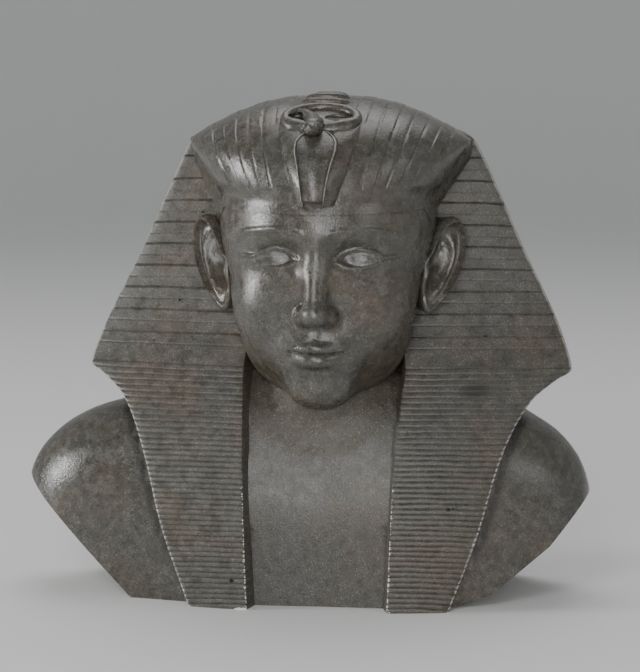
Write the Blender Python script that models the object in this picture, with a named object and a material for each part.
"""Bust of a king in a striped head cloth, with an upright cobra over the brow: one plaster casting.

Metres, +Z up. The face looks along -Y, and +X is on the viewer's right. The bust stands on its flat
underside, and the origin is on that underside, straight below the middle of the head.
The figure's own proportions are shares of BUST_HEIGHT, so a share of 1.0 is the crown of the head cloth.
"""

import math

import bmesh
import bpy
import numpy as np
from mathutils import Matrix

# Overall and carving sizes, metres
BUST_HEIGHT = 0.390
RIB_PITCH = 0.0040  # fine ribs across the two front lappets
RIB_DEPTH = 0.0010
STRIPE_PITCH = 0.0170  # grooves across the spread wings of the cloth
STRIPE_GROOVE_WIDTH = 0.0020
STRIPE_GROOVE_DEPTH = 0.0009
CROWN_BAND_RELIEF = 0.0011  # raised bands that run from the brow over the crown
BROW_EDGE_RELIEF = 0.0014  # how far the cloth stands off the forehead
HOOD_RIM_RADIUS = 0.0012  # raised line round the cobra's hood
COIL_RADIUS = 0.0046  # the cobra's body, coiled on the crown
FOLD_RADIUS = 0.0032  # its folds across the top of the crown

# Mesh fineness, as counts
LAPPET_COLUMNS = 2
BACK_COLUMNS = 4
CROWN_BACK_COLUMNS = 6
CROWN_ROWS = 8
TORSO_STATIONS = 20
TORSO_COLUMNS = 5
FACE_COLUMNS = 32
NAPE_COLUMNS = 3
HEAD_ROWS = 30
EAR_SPOKES = 11
EAR_RINGS = (0.35, 0.58, 0.76, 0.90, 1.0)  # shares of the ear's outline
EAR_BACK_RINGS = [(1.0, -0.012), (0.92, -0.095)]  # behind its rim, with their heights off its plane

# Heights of the main lines, shares of BUST_HEIGHT
SEAM_Z = 0.4616  # where the wings end and the ribbed lappets begin
CLOTH_FOOT_Z = 0.33  # where the two lappets part, inside the shoulders
LOWEST_STRIPE_Z = 0.520
BROW_EDGE_Z = 0.780  # the cloth's edge across the forehead
WING_TOP_Z = 0.905  # the upper corner, where the wings leave the crown
BAND_FOOT_Z = 0.822  # the crown's raised bands end here, above a plain band round the brow
TAB_DROP = 0.060  # how far the cloth comes down in front of each ear
NECK_FOOT_Z = 0.34
SPARE_FOOT = 0.04  # forms run on below the underside, which one flat cut makes

# Face lines, shares of BUST_HEIGHT: eyes at half the head, nose and mouth at even steps below
CHIN_Z = 0.392
MOUTH_Z = 0.508
NOSE_BASE_Z = 0.567
EYE_Z = 0.689
BROW_Z = 0.744
EYE_X = 0.082
EYE_HALF_WIDTH = 0.043
EYE_HALF_HEIGHT = 0.0165
MOUTH_HALF_WIDTH = 0.062
MOUTH_LIFT = -27  # degrees from the middle of the head
EYE_LIFT = 18
FACE_TURN = math.radians(80)

CROWN_ARCH = 1.19  # the crown's arch drops by this times x squared
CROWN_BACK_BOW = 0.84  # below 1 the crown is fuller behind than an ellipse
CROWN_BANDS = 3  # raised bands on each side of the cobra
FIRST_BAND_AT = 0.425  # where the bands stand, as shares of the crown's half-width
BAND_SPACING = 0.187
BAND_HALF_WIDTH = 0.040
CLOTH_SWEEP = 0.45  # the cloth's front turns back by this times x squared
EAR_AT = (0.226, -0.042, 0.662)
EAR_HALF_SIZE = (0.046, 0.092)
EAR_TURN = math.radians(42)  # from facing straight ahead
EAR_LEAN = 0.22  # the upper end stands out further
EAR_SLOPE = 0.26  # and lies further back, along the cloth

# Outlines as (height or place, value) keys, shares of BUST_HEIGHT
CLOTH_OUTER = [(0, 0.255), (0.155, 0.312), (0.314, 0.359), (0.403, 0.408), (0.440, 0.456), (0.457, 0.485),
               (0.500, 0.474), (0.695, 0.384), (0.869, 0.304), (0.905, 0.282), (0.917, 0.262),
               (0.930, 0.228)]
CLOTH_INNER = [(0, 0.137), (0.314, 0.150), (0.403, 0.156), (0.460, 0.160), (0.560, 0.143)]
CLOTH_FRONT = [(0, -0.250), (0.150, -0.247), (0.300, -0.220), (0.400, -0.160), (0.460, -0.115),
               (0.550, -0.065), (0.650, -0.030), (0.800, 0), (0.900, 0.010)]
CLOTH_BACK = [(0.330, 0.175), (0.450, 0.195), (0.520, 0.225), (0.650, 0.262), (0.780, 0.270),
              (0.900, 0.222), (0.960, 0.150), (1.000, 0)]
CLOTH_EDGE = [(0, 0.085), (0.360, 0.080), (0.460, 0.046), (0.900, 0.040)]  # thickness at the outer edge
QUEUE_BACK = [(0.110, 0.190), (0.330, 0.201), (0.430, 0.214), (0.500, 0.228), (0.560, 0.225)]
QUEUE_HALF_WIDTH = [(0.110, 0.032), (0.400, 0.050), (0.500, 0.068), (0.560, 0.080)]
CROWN_HALF_WIDTH = [(0.700, 0.208), (0.795, 0.217), (0.850, 0.246), (0.905, 0.282)]
CROWN_BROW_DEPTH = 0.262  # how far the crown stands in front of the middle, just over the brow
SHOULDER_TOP = [(0, 0.560), (0.080, 0.530), (0.150, 0.470), (0.220, 0.435), (0.300, 0.408),
                (0.414, 0.378), (0.474, 0.360), (0.530, 0.332), (0.580, 0.288), (0.608, 0.242),
                (0.624, 0.170), (0.628, 0.100)]
RIGHT_ARM = 0.855  # the right arm is cut off nearer the body: its reach against the left arm's
CHEST_FRONT = [(0, 0.200), (0.150, 0.203), (0.250, 0.190), (0.350, 0.168), (0.460, 0.147), (0.540, 0.118),
               (0.605, 0.066), (0.628, 0.012)]
CHEST_BACK = [(0, 0.172), (0.200, 0.180), (0.350, 0.160), (0.460, 0.137), (0.540, 0.106), (0.605, 0.056),
              (0.628, 0.010)]
CHEST_BOW = [(0, 1.25), (0.150, 1.6), (0.300, 2.2), (0.450, 2.3)]  # how square each section's shoulder is
ARM_CUTS = {"left": ((-0.388, 0.006), (-0.586, 0.206)), "right": ((0.336, 0.024), (0.514, 0.196))}
HEEL_CUT = ((0.255, 0.0), (0.336, 0.024))  # the right arm's lower corner rises off the ground

# Head masses as (middle, radii, softness of the join), right side only, shares of BUST_HEIGHT
SKULL = ((0, -0.020, 0.745), (0.215, 0.243, 0.222))
FACE_MASSES = [
    ((0, -0.074, 0.578), (0.168, 0.160, 0.188), 0.060),  # the front of the face
    ((0.100, -0.128, 0.592), (0.062, 0.075, 0.070), 0.060),  # cheek
    ((0.088, -0.050, 0.505), (0.052, 0.080, 0.055), 0.060),  # jaw
    ((0, -0.176, CHIN_Z + 0.042), (0.062, 0.050, 0.044), 0.045),  # chin
]
NECK_MIDDLE_Y = 0.025
NECK_RADII = (0.146, 0.137)
NECK_FLARE = 0.22  # how much wider the neck is at its foot
EYE_SOCKET = ((EYE_X + 0.002, -0.268, EYE_Z + 0.004), (0.064, 0.052, 0.032), 0.030)
EYEBALL = ((EYE_X, -0.172, EYE_Z), (0.060, 0.053, 0.043), 0.008)
NOSE_TIP = ((0, -0.272, NOSE_BASE_Z + 0.020), (0.025, 0.024, 0.021), 0.014)
NOSE_WING = ((0.026, -0.244, NOSE_BASE_Z + 0.014), (0.017, 0.026, 0.018), 0.012)
NOSTRIL = ((0.015, -0.262, NOSE_BASE_Z - 0.004), (0.007, 0.011, 0.009), 0.005)
MOUTH_MOUND = ((0, -0.184, 0.512), (0.082, 0.056, 0.060), 0.040)
UPPER_LIP_RADIUS = 0.0135
LOWER_LIP_RADIUS = 0.0148
LIP_SOFTNESS = 0.009
LID_RELIEF = 0.0042
BROW_RELIEF = 0.0032
HEAD_MIDDLE = (0, -0.020, 0.620)

# Cobra, shares of BUST_HEIGHT: (height, half-width, how proud of the crown) keys
COBRA_MASS = [(0.797, 0.039, 0.036), (0.810, 0.042, 0.040), (0.850, 0.054, 0.036), (0.890, 0.072, 0.029),
              (0.925, 0.094, 0.019), (0.950, 0.098, 0.010), (0.972, 0.080, 0.002), (0.985, 0.050, -0.010)]
COBRA_HOOD = [(0.795, 0.025, 0.046), (0.808, 0.027, 0.050), (0.845, 0.033, 0.050), (0.875, 0.039, 0.046),
              (0.897, 0.040, 0.042), (0.911, 0.031, 0.036), (0.922, 0.014, 0.030)]
COBRA_HEAD = [(0.914, 0.013, 0.030), (0.924, 0.021, 0.046), (0.938, 0.024, 0.048), (0.952, 0.018, 0.036),
              (0.960, 0.008, 0.022)]
COIL_AT_Z = 0.938
COIL_HALF_WIDTH = 0.072
COIL_HALF_HEIGHT = 0.024
COIL_POINTS = 12
FOLDS_AT_Y = (-0.128, -0.090, -0.050)
FOLD_HALF_WIDTH = 0.062
FOLD_CURVE = 0.02


def through(keys, at):
    """Smooth curve through (place, value) keys, without overshoot, and level past both ends."""
    place, value = np.array(keys, float).T
    step = np.diff(place)
    slope = np.diff(value) / step
    product, total = slope[1:] * slope[:-1], slope[1:] + slope[:-1]
    tangent = np.concatenate([[slope[0]], np.where(product > 0, 2 * product / (total + 1e-12), 0), [slope[-1]]])
    at = np.clip(at, place[0], place[-1])
    i = np.clip(np.searchsorted(place, at, side="right") - 1, 0, len(step) - 1)
    t = (at - place[i]) / step[i]
    rise = t * t * (3 - 2 * t)
    return (
        value[i] * (1 - rise)
        + value[i + 1] * rise
        + tangent[i] * step[i] * t * (1 - t) ** 2
        - tangent[i + 1] * step[i] * t * t * (1 - t)
    )


def blend(low, high, at):
    """0 below low, 1 above high, smooth in between."""
    t = np.clip((at - low) / (high - low), 0, 1)
    return t * t * (3 - 2 * t)


def mesh_object(name, points, faces, collection):
    """A closed mesh in shares of BUST_HEIGHT, made real size, with its faces turned outwards."""
    mesh = bpy.data.meshes.new(name)
    mesh.from_pydata((np.asarray(points) * BUST_HEIGHT).tolist(), [], faces)
    made = bmesh.new()
    made.from_mesh(mesh)
    bmesh.ops.recalc_face_normals(made, faces=made.faces)
    made.to_mesh(mesh)
    made.free()
    result = bpy.data.objects.new(name, mesh)
    collection.objects.link(result)
    return result


def strip(row, path, columns):
    """Quads from one row of points to the next, round a closed path of columns."""
    low, high = row * columns, (row + 1) * columns
    return [(low + j, low + k, high + k, high + j) for j, k in zip(path, path[1:] + path[:1])]


def skin(rings):
    """Quads between closed rows of points."""
    rows, columns = rings.shape[:2]
    path = list(range(columns))
    return [face for row in range(rows - 1) for face in strip(row, path, columns)]


def loft(name, rings, collection):
    """A closed solid through rings of equal count, with flat ends."""
    rows, columns = rings.shape[:2]
    faces = skin(rings)
    faces.append(tuple(range(columns))[::-1])
    faces.append(tuple((rows - 1) * columns + j for j in range(columns)))
    return mesh_object(name, rings.reshape(-1, 3), faces, collection)


def ball(name, rings, first_pole, last_pole, collection):
    """A closed solid through rings of equal count, drawn together to a point at both ends."""
    rows, columns = rings.shape[:2]
    faces = skin(rings)
    points = np.vstack([rings.reshape(-1, 3), first_pole, last_pole])
    first = rows * columns
    for j in range(columns):
        k = (j + 1) % columns
        faces.append((first, k, j))
        faces.append((first + 1, (rows - 1) * columns + j, (rows - 1) * columns + k))
    return mesh_object(name, points, faces, collection)


def tube(name, points, radius, collection, cyclic=False):
    """A round cord through points in shares of BUST_HEIGHT, made a mesh so that it can be joined."""
    curve = bpy.data.curves.new(name, "CURVE")
    curve.dimensions = "3D"
    curve.bevel_depth = radius
    curve.bevel_resolution = 1
    curve.use_fill_caps = not cyclic
    spline = curve.splines.new("POLY")
    spline.points.add(len(points) - 1)
    for point, place in zip(spline.points, points):
        point.co = (*(value * BUST_HEIGHT for value in place), 1)
    spline.use_cyclic_u = cyclic
    guide = bpy.data.objects.new(name + "_line", curve)
    collection.objects.link(guide)
    graph = bpy.context.evaluated_depsgraph_get()
    mesh = bpy.data.meshes.new_from_object(guide.evaluated_get(graph))
    made = bmesh.new()
    made.from_mesh(mesh)
    bmesh.ops.remove_doubles(made, verts=made.verts, dist=1e-6)
    bmesh.ops.recalc_face_normals(made, faces=made.faces)
    made.to_mesh(mesh)
    made.free()
    result = bpy.data.objects.new(name, mesh)
    result.matrix_world = guide.matrix_world
    collection.objects.link(result)
    bpy.data.objects.remove(guide)
    return result


def outward(rings):
    """Unit normals in plan of rings that run anticlockwise seen from above."""
    along = np.roll(rings, -1, axis=1)[..., :2] - np.roll(rings, 1, axis=1)[..., :2]
    normal = np.stack([along[..., 1], -along[..., 0], np.zeros(rings.shape[:2])], axis=-1)
    return normal / (np.linalg.norm(normal, axis=-1, keepdims=True) + 1e-12)


def cloth_rows():
    """Heights of the head cloth's rows, with how deep each is carved in front and behind."""
    groove = STRIPE_GROOVE_DEPTH / BUST_HEIGHT
    rib = RIB_DEPTH / BUST_HEIGHT
    ribs = round(SEAM_Z * BUST_HEIGHT / RIB_PITCH)
    rows = [(-SPARE_FOOT, 0, 0)]
    pitch = SEAM_Z / ribs
    for i in range(ribs):
        rows.append(((i + 0.5) * pitch, 0, 0))
        rows.append(((i + 1) * pitch, rib, groove if i == ribs - 1 else 0))
    rows.append((SEAM_Z + 0.006, 0, 0))
    half_groove = STRIPE_GROOVE_WIDTH / 2 / BUST_HEIGHT
    for z in np.arange(LOWEST_STRIPE_Z, WING_TOP_Z - 0.02, STRIPE_PITCH / BUST_HEIGHT):
        rows += [(z - half_groove, 0, 0), (z, groove, groove), (z + half_groove, 0, 0)]
    rows += [(z, 0, 0) for z in (WING_TOP_Z, WING_TOP_Z + 0.012, WING_TOP_Z + 0.025)]
    return np.array(rows)


def cloth_half_section(z):
    """Plan of the cloth's right half at heights z, from the front middle round to the back middle.

    Gives the points and how strongly each column takes the carving in front and behind.
    """
    outer = through(CLOTH_OUTER, z)
    inner = through(CLOTH_INNER, z)
    edge = through(CLOTH_EDGE, z)
    depth = through(CLOTH_FRONT, z)
    back = through(CLOTH_BACK, z)
    columns = []

    def front_y(x):
        return depth + CLOTH_SWEEP * x * x

    hidden = np.minimum(front_y(inner) + 0.10, 0.06)
    columns.append((0 * z, hidden + 0.02, 0, 0))
    columns.append((inner - 0.035, hidden + 0.02, 0, 0))
    columns.append((inner - 0.016, front_y(inner) + 0.066, 0, 0))
    for i in range(LAPPET_COLUMNS + 1):
        x = inner + (outer - 0.007 - inner) * i / LAPPET_COLUMNS
        columns.append((x, front_y(x), 1, 0))
    columns.append((outer, front_y(outer) + 0.007, 0.4, 0))
    columns.append((outer - 0.004, front_y(outer) + edge, 0, 0.3))
    last_leg = len(columns) - 1
    bow = 1.35 + 0.95 * blend(0.55, 0.88, z)
    back = back - 0.02 * blend(WING_TOP_Z, WING_TOP_Z + 0.02, z)
    side = outer - 0.004
    rear = front_y(outer) + edge
    for i in range(1, BACK_COLUMNS + 1):
        turn = math.pi / 2 * i / BACK_COLUMNS
        x = side * np.cos(turn) ** (2 / bow)
        y = rear + (back - rear) * np.sin(turn) ** (2 / bow)
        columns.append((x, y, 0, 1))
    return columns, (2, last_leg)


def head_cloth(collection):
    """The spread wings, the bag behind and the two ribbed lappets, as one solid with two legs."""
    rows = cloth_rows()
    foot = int(np.argmin(abs(rows[:, 0] - CLOTH_FOOT_Z)))
    z = rows[:, 0]
    half, (leg_start, leg_end) = cloth_half_section(z)
    right = np.stack([np.stack([x, y, z], axis=-1) for x, y, _, _ in half], axis=1)
    left = right[:, 1:-1][:, ::-1] * (-1, 1, 1)
    rings = np.concatenate([right, left], axis=1)
    carve = np.array([(front, behind) for _, _, front, behind in half])
    carve = np.concatenate([carve, carve[1:-1][::-1]])
    depth = rows[:, 1:2] * carve[:, 0] + rows[:, 2:3] * carve[:, 1]
    rings = rings - outward(rings) * depth[..., None]
    columns = rings.shape[1]
    faces = []
    legs = [list(range(leg_start, leg_end + 1)),
            list(range(columns - leg_end, columns - leg_start + 1))]
    for row in range(len(rows) - 1):
        for path in [list(range(columns))] if row >= foot else legs:
            faces += strip(row, path, columns)
    for leg in legs:
        faces.append(tuple(leg)[::-1])
    inside = set(legs[0][1:-1] + legs[1][1:-1])
    faces.append(tuple(foot * columns + j for j in range(columns) if j not in inside)[::-1])
    faces.append(tuple((len(rows) - 1) * columns + j for j in range(columns)))
    used = sorted({index for face in faces for index in face})
    place = {index: i for i, index in enumerate(used)}
    points = rings.reshape(-1, 3)[used]
    faces = [tuple(place[index] for index in face) for face in faces]
    return mesh_object("head_cloth", points, faces, collection)


def crown_front(z):
    """How far the crown's cloth stands in front of the middle, at height z."""
    rise = np.clip(z - BROW_EDGE_Z, 0, 1) / (1.0005 - BROW_EDGE_Z)
    return CROWN_BROW_DEPTH * np.sqrt(np.clip(1 - rise ** 2.4, 0, 1))


def crown_half_width(z):
    """Half-width of the crown, which follows the wings' edges and then an arch."""
    arch = np.sqrt(np.clip((1.0 - z) / CROWN_ARCH, 0, 1))
    return np.where(z < WING_TOP_Z, through(CROWN_HALF_WIDTH, z), arch)


def crown_bands():
    """Where the raised bands' edges stand, as (share of the half-width, how raised)."""
    edges = []
    for i in range(CROWN_BANDS):
        middle = FIRST_BAND_AT + BAND_SPACING * i
        edges += [(middle - BAND_HALF_WIDTH - 0.02, 0), (middle - BAND_HALF_WIDTH, 1)]
        edges += [(middle + BAND_HALF_WIDTH, 1), (middle + BAND_HALF_WIDTH + 0.02, 0)]
    return edges


def crown(collection):
    """The cloth over the skull: a plain band round the brow, and raised bands that fan out from it."""
    columns = [(side * math.asin(share), band) for side in (-1, 1) for share, band in crown_bands()]
    columns += [(0, 0), (-math.pi / 2, 0), (math.pi / 2, 0)]
    columns += [(math.pi / 2 + math.pi * i / CROWN_BACK_COLUMNS, 0) for i in range(1, CROWN_BACK_COLUMNS)]
    turn, band = np.array(sorted(columns)).T
    rise = np.linspace(0, 1, CROWN_ROWS)[:, None]
    lowest = BROW_EDGE_Z - TAB_DROP * blend(0.86, 1.0, abs(np.sin(turn)))
    z = lowest + (0.9985 - lowest) * np.sin(rise * math.pi / 2) ** 0.9
    z[0] = lowest
    z[1] = lowest + 0.001
    half_width, front, back = crown_half_width(z), crown_front(z), through(CLOTH_BACK, z)
    sine, cosine = np.sin(turn), np.cos(turn)
    x = half_width * sine
    y = np.where(cosine > 0, -front * abs(cosine) ** 0.95, back * abs(cosine) ** CROWN_BACK_BOW)
    x = np.where(cosine > 0, x, half_width * np.sign(sine) * abs(sine) ** CROWN_BACK_BOW)
    rings = np.stack([x, y, z], axis=-1)
    low = head_section(turn, z) + BROW_EDGE_RELIEF / BUST_HEIGHT
    over_head = np.stack([low * sine, -low * cosine, z], axis=-1)
    settle = blend(BROW_EDGE_Z + 0.005, BROW_EDGE_Z + 0.05, z)[..., None]
    rings = over_head * (1 - settle) + rings * settle
    shown = blend(BAND_FOOT_Z, BAND_FOOT_Z + 0.012, z) * (1 - blend(0.965, 0.99, z))
    rings += outward(rings) * (CROWN_BAND_RELIEF / BUST_HEIGHT * shown * band)[..., None]
    rings[0] *= (0.93, 0.93, 1)
    return ball("crown", rings, (0, 0, BROW_EDGE_Z), (0, 0, 1.0), collection)


def torso(collection):
    """Chest, back and the two cut-off upper arms, through sections that run from arm to arm."""
    spread = np.linspace(-1, 1, TORSO_STATIONS)
    widest = math.radians(82)
    reach = SHOULDER_TOP[-1][0] * np.sin(abs(spread) * widest) / math.sin(widest)
    shorter = np.where(spread > 0, (1 - RIGHT_ARM) * blend(0.30, 0.50, reach), 0)
    station = (1 - shorter) * np.sign(spread) * reach
    top, bow = through(SHOULDER_TOP, reach), through(CHEST_BOW, reach)
    front, back = through(CHEST_FRONT, reach), through(CHEST_BACK, reach)
    wall = np.minimum(0.20, top * 0.55)
    turns = np.linspace(0, math.pi / 2, TORSO_COLUMNS)
    rings = []
    for i, x in enumerate(station):
        across = np.cos(turns) ** (2 / bow[i])
        z = wall[i] + (top[i] - wall[i]) * np.sin(turns) ** (2 / bow[i])
        ring = [(x, -0.97 * front[i], -SPARE_FOOT)]
        ring += [(x, -front[i] * share, height) for share, height in zip(across, z)]
        ring += [(x, back[i] * share, height) for share, height in zip(across[-2::-1], z[-2::-1])]
        ring += [(x, back[i], -SPARE_FOOT)]
        rings.append(ring)
    return loft("bust", np.array(rings), collection)


def queue(collection):
    """The cloth's gathered tail, down the middle of the back, with cross grooves."""
    z = np.arange(QUEUE_BACK[0][0], QUEUE_BACK[-1][0], STRIPE_PITCH / 2 / BUST_HEIGHT)
    half = through(QUEUE_HALF_WIDTH, z)
    groove = 2 * STRIPE_GROOVE_DEPTH / BUST_HEIGHT
    back = through(QUEUE_BACK, z) - (np.arange(len(z)) % 2 == 0) * groove
    rings = []
    for share, depth in ((-1.1, 0.08), (1.1, 0.08), (1.0, 0.008), (0.6, 0), (-0.6, 0), (-1.0, 0.008)):
        rings.append(np.stack([half * share, back - depth, z], axis=-1))
    return loft("queue", np.stack(rings, axis=1), collection)


def near(first, second, softness):
    """Smooth union of two fields."""
    mix = np.clip(0.5 + 0.5 * (second - first) / softness, 0, 1)
    return second * (1 - mix) + first * mix - softness * mix * (1 - mix)


def carve_out(field, hollow, softness):
    """Smooth difference: the hollow is taken out of the field."""
    return -near(-field, hollow, softness)


def egg(p, middle, radii):
    """Field of an ellipsoid: about the distance to it, negative inside."""
    q = (p - middle) / np.array(radii)
    k = np.linalg.norm(q, axis=-1)
    return k * (k - 1) / (np.linalg.norm(q / np.array(radii), axis=-1) + 1e-9)


def rod(p, start, end, start_radius, end_radius):
    """Field of a round bar that changes radius from start to end."""
    start, end = np.array(start, float), np.array(end, float)
    along = end - start
    share = np.clip((p - start) @ along / (along @ along), 0, 1)
    radius = start_radius + (end_radius - start_radius) * share
    return np.linalg.norm(p - start - share[..., None] * along, axis=-1) - radius


def head_field(p):
    """Head and neck, calm and even, both sides alike."""
    q = np.stack([abs(p[..., 0]), p[..., 1], p[..., 2]], axis=-1)
    x, y, z = q[..., 0], q[..., 1], q[..., 2]
    field = egg(q, *SKULL)
    for middle, radii, softness in FACE_MASSES:
        field = near(field, egg(q, middle, radii), softness)
    field = near(field, rod(q, (0, -0.222, BROW_Z), (0.158, -0.140, BROW_Z - 0.006), 0.022, 0.016), 0.035)
    flare = 1 + NECK_FLARE * (1 - blend(NECK_FOOT_Z, 0.44, z))
    neck_share = np.hypot(x / NECK_RADII[0], (y - NECK_MIDDLE_Y) / NECK_RADII[1]) / flare
    field = near(field, np.maximum((neck_share - 1) * NECK_RADII[1], z - 0.66), 0.035)
    field = carve_out(field, egg(q, *EYE_SOCKET[:2]), EYE_SOCKET[2])
    field = near(field, egg(q, *EYEBALL[:2]), EYEBALL[2])
    bridge = rod(q, (0, -0.221, EYE_Z + 0.049), (0, -0.270, NOSE_BASE_Z + 0.024), 0.016, 0.024)
    field = near(field, bridge, 0.024)
    for middle, radii, softness in (NOSE_TIP, NOSE_WING):
        field = near(field, egg(q, middle, radii), softness)
    field = carve_out(field, egg(q, *NOSTRIL[:2]), NOSTRIL[2])
    field = near(field, egg(q, *MOUTH_MOUND[:2]), MOUTH_MOUND[2])
    share = np.clip(x / MOUTH_HALF_WIDTH, 0, 1.3)
    line_z = MOUTH_Z + 0.004 * share * share
    front_y = -0.241 + 0.036 * share * share
    fade = np.sqrt(np.clip(1.02 - share * share, 0, 1))
    over = (z - line_z - 0.0095 - 0.002 * np.cos(share * 4)) * 1.2
    upper = np.hypot(y - front_y, over) - UPPER_LIP_RADIUS * fade
    lower = np.hypot(y - front_y - 0.001, z - line_z + 0.0125) - LOWER_LIP_RADIUS * fade
    corner = 0.03 * blend(0.95, 1.2, share)
    field = near(field, upper + corner, LIP_SOFTNESS)
    field = near(field, lower + corner, LIP_SOFTNESS)
    return np.maximum(field, NECK_FOOT_Z - z)


def face_relief(x, z):
    """Raised brows and lids, as heights over the face seen from the front."""
    side = abs(x)
    share = (side - EYE_X) / EYE_HALF_WIDTH
    bulge = np.clip(1 - share * share, 0, 1)
    upper = EYE_Z + 0.002 + EYE_HALF_HEIGHT * bulge ** 0.75
    lower = EYE_Z - EYE_HALF_HEIGHT * 0.8 * bulge ** 0.9
    within = blend(-1.15, -0.98, share) * (1 - blend(1.5, 1.9, share))
    lid = np.exp(-(((z - upper - 0.0022) / 0.0036) ** 2)) * within
    lower_within = blend(-1.1, -0.95, share) * (1 - blend(0.9, 1.1, share))
    lid = np.maximum(lid, 0.8 * np.exp(-(((z - lower + 0.002) / 0.0034) ** 2)) * lower_within)
    brow_line = BROW_Z + 0.004 - 2.0 * (side - 0.080) ** 2
    brow_within = blend(0.014, 0.030, side) * (1 - blend(0.140, 0.165, side))
    brow = np.exp(-(((z - brow_line) / 0.0060) ** 4)) * brow_within
    return LID_RELIEF * lid + BROW_RELIEF * brow


def surface_reach(field, start, ray, farthest):
    """How far along each ray the field's surface lies, by halving."""
    low = np.full(ray.shape[:-1], 0.05)
    high = np.full(ray.shape[:-1], farthest)
    for _ in range(22):
        middle = (low + high) / 2
        outside = field(start + ray * middle[..., None]) > 0
        high = np.where(outside, middle, high)
        low = np.where(outside, low, middle)
    return low


def head_section(turn, z):
    """How far the head's surface stands from its upright axis, at each turn from the front and height."""
    ray = np.stack([np.sin(turn) + 0 * z, -np.cos(turn) + 0 * z, 0 * z], axis=-1)
    start = np.stack([0 * z, 0 * z, z], axis=-1)
    return surface_reach(head_field, start, ray, 0.45)


def close_rows(count):
    """Angles up and down from the middle of the head, closer together at the mouth and the eyes."""
    fine = np.linspace(-51, 40, 400)
    weight = 1 + 1.6 * np.exp(-(((fine - MOUTH_LIFT) / 5) ** 2))
    weight += 2.2 * np.exp(-(((fine - EYE_LIFT) / 4.5) ** 2))
    share = np.concatenate([[0], np.cumsum(weight)[:-1]])
    return np.interp(np.linspace(0, share[-1], count), share, fine)


def head(collection):
    """Rays from the middle of the head out to its surface, close together over the face."""
    centre = np.array(HEAD_MIDDLE)
    spread = np.linspace(-1, 1, FACE_COLUMNS)
    face = FACE_TURN * np.sign(spread) * abs(spread) ** 1.25
    nape = np.linspace(FACE_TURN, 2 * math.pi - FACE_TURN, NAPE_COLUMNS + 2)[1:-1]
    turn = np.concatenate([face, nape])
    lift = np.radians(np.concatenate([[-72, -66, -60, -55], close_rows(HEAD_ROWS), [55, 72]]))
    sine, cosine = np.sin(turn), np.cos(turn)
    ray = np.stack([np.cos(lift)[:, None] * sine, -np.cos(lift)[:, None] * cosine,
                    np.broadcast_to(np.sin(lift)[:, None], (len(lift), len(turn)))], axis=-1)
    points = centre + ray * surface_reach(head_field, centre, ray, 0.60)[..., None]
    points += ray * (face_relief(points[..., 0], points[..., 2]) * (points[..., 1] < -0.1))[..., None]
    return ball("head", points, (0, 0, NECK_FOOT_Z), (0, 0, 0.93), collection)


def ear_relief(u, v):
    """Height of the ear's front over its plane; u runs backwards and v upwards, both -1 to 1."""
    reach = np.hypot(u, v)
    above_lobe = blend(-0.85, -0.45, v)
    rim = 0.013 * np.exp(-(((reach - 0.92) / 0.08) ** 2)) * (0.25 + 0.75 * above_lobe)
    rim *= 1 - 0.9 * (1 - blend(-0.75, -0.45, u)) * (1 - blend(0.0, 0.35, v))
    inner_reach = np.hypot((u + 0.08) / 0.95, v)
    fold = 0.009 * np.exp(-(((inner_reach - 0.60) / 0.11) ** 2)) * blend(-0.3, 0.15, u) * above_lobe
    hollow = 0.024 * np.exp(-((u + 0.18) / 0.36) ** 2 - ((v + 0.10) / 0.34) ** 2)
    upper_hollow = 0.008 * np.exp(-((u + 0.15) / 0.35) ** 2 - ((v - 0.52) / 0.20) ** 2)
    tragus = 0.012 * np.exp(-((u + 0.80) / 0.20) ** 2 - ((v + 0.15) / 0.22) ** 2)
    return rim + fold - hollow - upper_hollow + tragus


def ear(name, side, collection):
    """A long ear turned to the front, from the middle of its hollow outwards and round to the back."""
    turn = np.linspace(0, 2 * math.pi, EAR_SPOKES, endpoint=False)
    narrow = 1 - 0.28 * (1 - blend(-1.0, 0.2, np.sin(turn)))
    rings = []
    for share, height in [(share, None) for share in EAR_RINGS] + EAR_BACK_RINGS:
        u, v = share * np.cos(turn), share * np.sin(turn)
        w = ear_relief(u, v) if height is None else height + 0 * u
        rings.append(np.stack([u * EAR_HALF_SIZE[0] * narrow, v * EAR_HALF_SIZE[1], w], axis=-1))

    def place(local):
        u, v, w = local[..., 0], local[..., 1], local[..., 2]
        x = EAR_AT[0] + u * math.cos(EAR_TURN) + w * math.sin(EAR_TURN) + EAR_LEAN * v
        y = EAR_AT[1] + u * math.sin(EAR_TURN) - w * math.cos(EAR_TURN) + EAR_SLOPE * v
        return np.stack([side * x, y, EAR_AT[2] + v], axis=-1)

    poles = place(np.array([(0, 0, float(ear_relief(0.0, 0.0))), (0, 0, EAR_BACK_RINGS[-1][1] - 0.01)]))
    return ball(name, place(np.array(rings)), poles[0], poles[1], collection)


def crown_y(x, z):
    """Where the crown's front stands at (x, z)."""
    half = crown_half_width(np.asarray(z, float))
    return -float(crown_front(z) * np.sqrt(np.clip(1 - (x / half) ** 2, 0, 1)))


def crown_z(x, y):
    """Height of the crown over a point in plan, in front of the middle."""
    low, high = BROW_EDGE_Z, 1.0
    for _ in range(24):
        middle = (low + high) / 2
        if crown_y(x, middle) < y:
            low = middle
        else:
            high = middle
    return low


def standing_form(name, keys, section, collection):
    """A form that stands out from the crown's front: (z, half-width, how proud) keys through one section.

    The section is a list of (share of the half-width, share of the proudness).
    """
    rings = []
    for z, half, proud in keys:
        y = crown_y(0, z)
        ring = [(-half * 0.9, y + 0.05, z), (half * 0.9, y + 0.05, z)]
        ring += [(half * a, y - proud * b + 0.008 * (1 - b), z) for a, b in section]
        ring += [(-half * a, y - proud * b + 0.008 * (1 - b), z) for a, b in reversed(section)]
        rings.append(ring)
    return loft(name, np.array(rings), collection)


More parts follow.
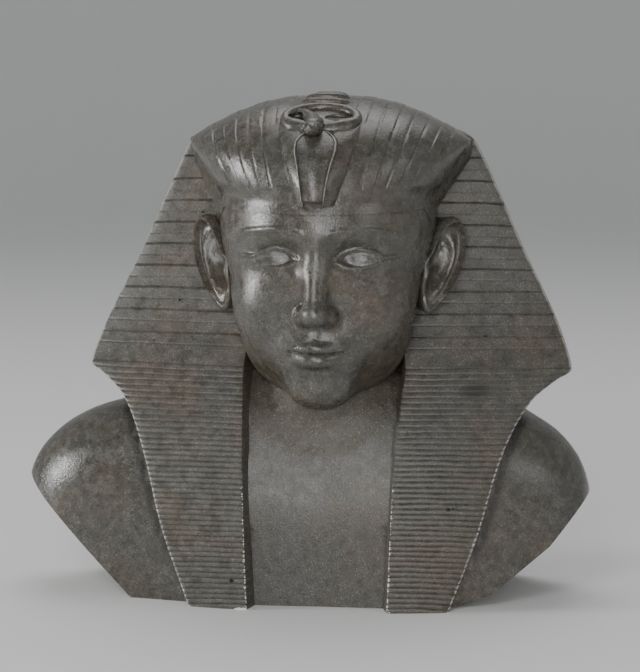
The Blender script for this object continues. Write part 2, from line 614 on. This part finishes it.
def cobra(collection):
    """The upright cobra on the brow: flanking mass, hood with its raised rim, head, coil and folds."""
    parts = [
        standing_form("cobra_mass", COBRA_MASS, [(1.0, 0.0), (0.66, 0.62), (0.30, 1.0)], collection),
        standing_form("cobra_hood", COBRA_HOOD, [(1.0, 0.0), (1.0, 0.88), (0.7, 1.0)], collection),
        standing_form("cobra_head", COBRA_HEAD, [(1.0, 0.3), (0.6, 1.0)], collection),
    ]
    outline = [(half * 0.95, crown_y(0, z) - proud * 0.92, z) for z, half, proud in COBRA_HOOD]
    rim = outline + [(-x, y, z) for x, y, z in reversed(outline)]
    parts.append(tube("cobra_hood_rim", rim, HOOD_RIM_RADIUS, collection, cyclic=True))
    coil = []
    for i in range(COIL_POINTS):
        turn = 2 * math.pi * i / COIL_POINTS
        x, z = COIL_HALF_WIDTH * math.cos(turn), COIL_AT_Z + COIL_HALF_HEIGHT * math.sin(turn)
        coil.append((x, crown_y(x, z) - 0.010, z))
    parts.append(tube("cobra_coil", coil, COIL_RADIUS, collection, cyclic=True))
    for i, middle_y in enumerate(FOLDS_AT_Y):
        arc = []
        for share in (-1, -0.6, 0, 0.6, 1):
            x, y = FOLD_HALF_WIDTH * share, middle_y + FOLD_CURVE * share * share
            arc.append((x, y, crown_z(x, y) - 0.003 - 0.008 * share ** 4))
        parts.append(tube("cobra_fold_" + str(i + 1), arc, FOLD_RADIUS, collection))
    return parts


def flat_cut(name, corner, far_corner, collection):
    """A block whose top lies on the line from one (x, z) corner out to the other: what is under it goes."""
    (x, z), (far_x, far_z) = corner, far_corner
    lean = math.copysign(math.atan2(far_z - z, abs(far_x - x)), -far_x)
    block = bmesh.new()
    below = Matrix.Translation((0, 0, -BUST_HEIGHT))
    bmesh.ops.create_cube(block, size=2 * BUST_HEIGHT, matrix=below)
    mesh = bpy.data.meshes.new(name)
    block.to_mesh(mesh)
    block.free()
    result = bpy.data.objects.new(name, mesh)
    result.location = (x * BUST_HEIGHT, 0, z * BUST_HEIGHT)
    result.rotation_euler = (0, lean, 0)
    collection.objects.link(result)
    return result


def join(base, others, operation):
    """Boolean modifiers that add or take away forms, which stay hidden guides."""
    for other in others:
        step = base.modifiers.new(other.name, "BOOLEAN")
        step.operation = operation
        step.solver = "EXACT"
        step.object = other
        other.hide_render = True
        other.display_type = "WIRE"


def plaster():
    """Painted and waxed plaster, dark grey-brown like a hard stone."""
    material = bpy.data.materials.new("painted_plaster")
    material.use_nodes = True
    shader = material.node_tree.nodes["Principled BSDF"]
    shader.inputs["Base Color"].default_value = (0.085, 0.077, 0.068, 1)
    shader.inputs["Roughness"].default_value = 0.42
    shader.inputs["Metallic"].default_value = 0.0
    return material


def main():
    for item in list(bpy.data.objects):
        bpy.data.objects.remove(item)
    shown = bpy.data.collections.new("pharaoh_bust")
    guides = bpy.data.collections.new("forms")
    bpy.context.scene.collection.children.link(shown)
    bpy.context.scene.collection.children.link(guides)
    bust = torso(shown)
    cuts = [flat_cut("arm_cut_" + side, *corners, guides) for side, corners in ARM_CUTS.items()]
    cuts.append(flat_cut("heel_cut", *HEEL_CUT, guides))
    join(bust, cuts, "DIFFERENCE")
    forms = [head(guides), head_cloth(guides), crown(guides), queue(guides)]
    forms += [ear("ear_left", -1, guides), ear("ear_right", 1, guides)]
    forms += cobra(guides)
    join(bust, forms, "UNION")
    underside = flat_cut("underside_cut", (0, 0), (1, 0), guides)
    join(bust, [underside], "DIFFERENCE")
    bust.data.shade_smooth()
    bust.data.set_sharp_from_angle(angle=math.radians(32))
    bust.data.materials.append(plaster())


main()
